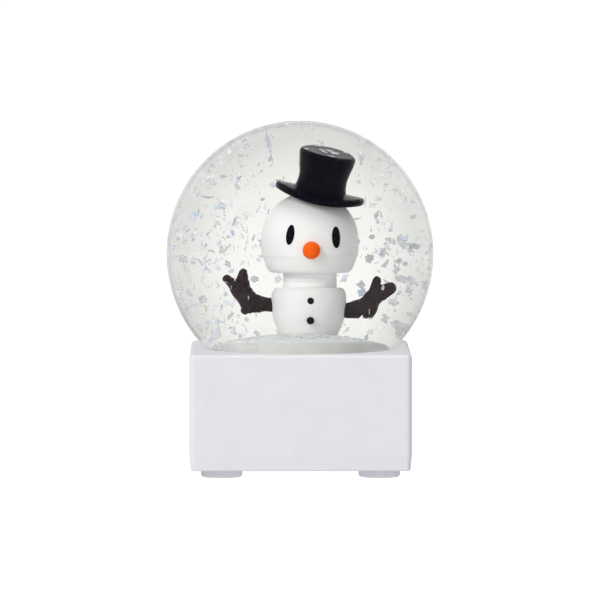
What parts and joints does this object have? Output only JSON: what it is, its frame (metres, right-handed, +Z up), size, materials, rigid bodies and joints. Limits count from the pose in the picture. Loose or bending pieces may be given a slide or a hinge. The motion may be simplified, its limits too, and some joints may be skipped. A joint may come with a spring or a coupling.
{
  "type": "snow globe",
  "caption": "Snow globe: liquid-filled glass ball with drifting glitter and a top-hatted snowman, seated in a square white block on rubber pads.",
  "frame": {"origin": "centre of the bounding box at the plane of the four foot pads' undersides", "axes": "+Z up through the ball's centre; the snowman faces -Y; the block's sides lie along X and Y"},
  "size_m": [0.065, 0.065, 0.0852],
  "materials": {
    "resin": "matte",
    "cover": "matte",
    "glass": "polished",
    "adhesive": "gloss",
    "stopper_rubber": "matte",
    "pad_rubber": "matte",
    "silicone": "satin",
    "snow": "satin",
    "snowman_white": "satin",
    "nose_orange": "satin",
    "black_paint": "gloss",
    "arm_brown": "satin",
    "hat_black": "satin",
    "liquid": "polished",
    "film_silver": "gloss",
    "film_lilac": "gloss",
    "film_blue": "gloss",
    "film_clear": "gloss",
    "film_gold": "gloss"
  },
  "bodies": {
    "globe": {"arm_left": "arm_brown", "arm_right": "arm_brown", "ball_bond": "adhesive", "base_block": "resin", "base_cover": "cover", "button_lower": "black_paint", "button_upper": "black_paint", "eye_left": "black_paint", "eye_right": "black_paint", "flakes_on_hat": "film_silver", "foot_pad_back_left": "pad_rubber", "foot_pad_back_right": "pad_rubber", "foot_pad_front_left": "pad_rubber", "foot_pad_front_right": "pad_rubber", "glass_ball": "glass", "nose_ball": "nose_orange", "rubber_stopper": "stopper_rubber", "snow_mound": "snow", "snowman_body": "snowman_white", "snowman_head": "snowman_white", "snowman_neck": "snowman_white", "stopper_seal": "silicone", "top_hat": "hat_black"},
    "snow_swirl_body": {"flakes_silver": "film_silver", "flakes_lilac": "film_lilac", "flakes_blue": "film_blue", "flakes_clear": "film_clear", "flakes_gold": "film_gold", "flakes_on_mound": "film_silver", "liquid_fill": "liquid"}
  },
  "joints": [
    {"name": "snow_swirl", "type": "hinge", "parent": "globe", "child": "snow_swirl_body", "pos_m": [0, 0, 0.0527], "axis": [0, 0, 1], "continuous": true, "deforming": ["liquid_fill"]}
  ]
}
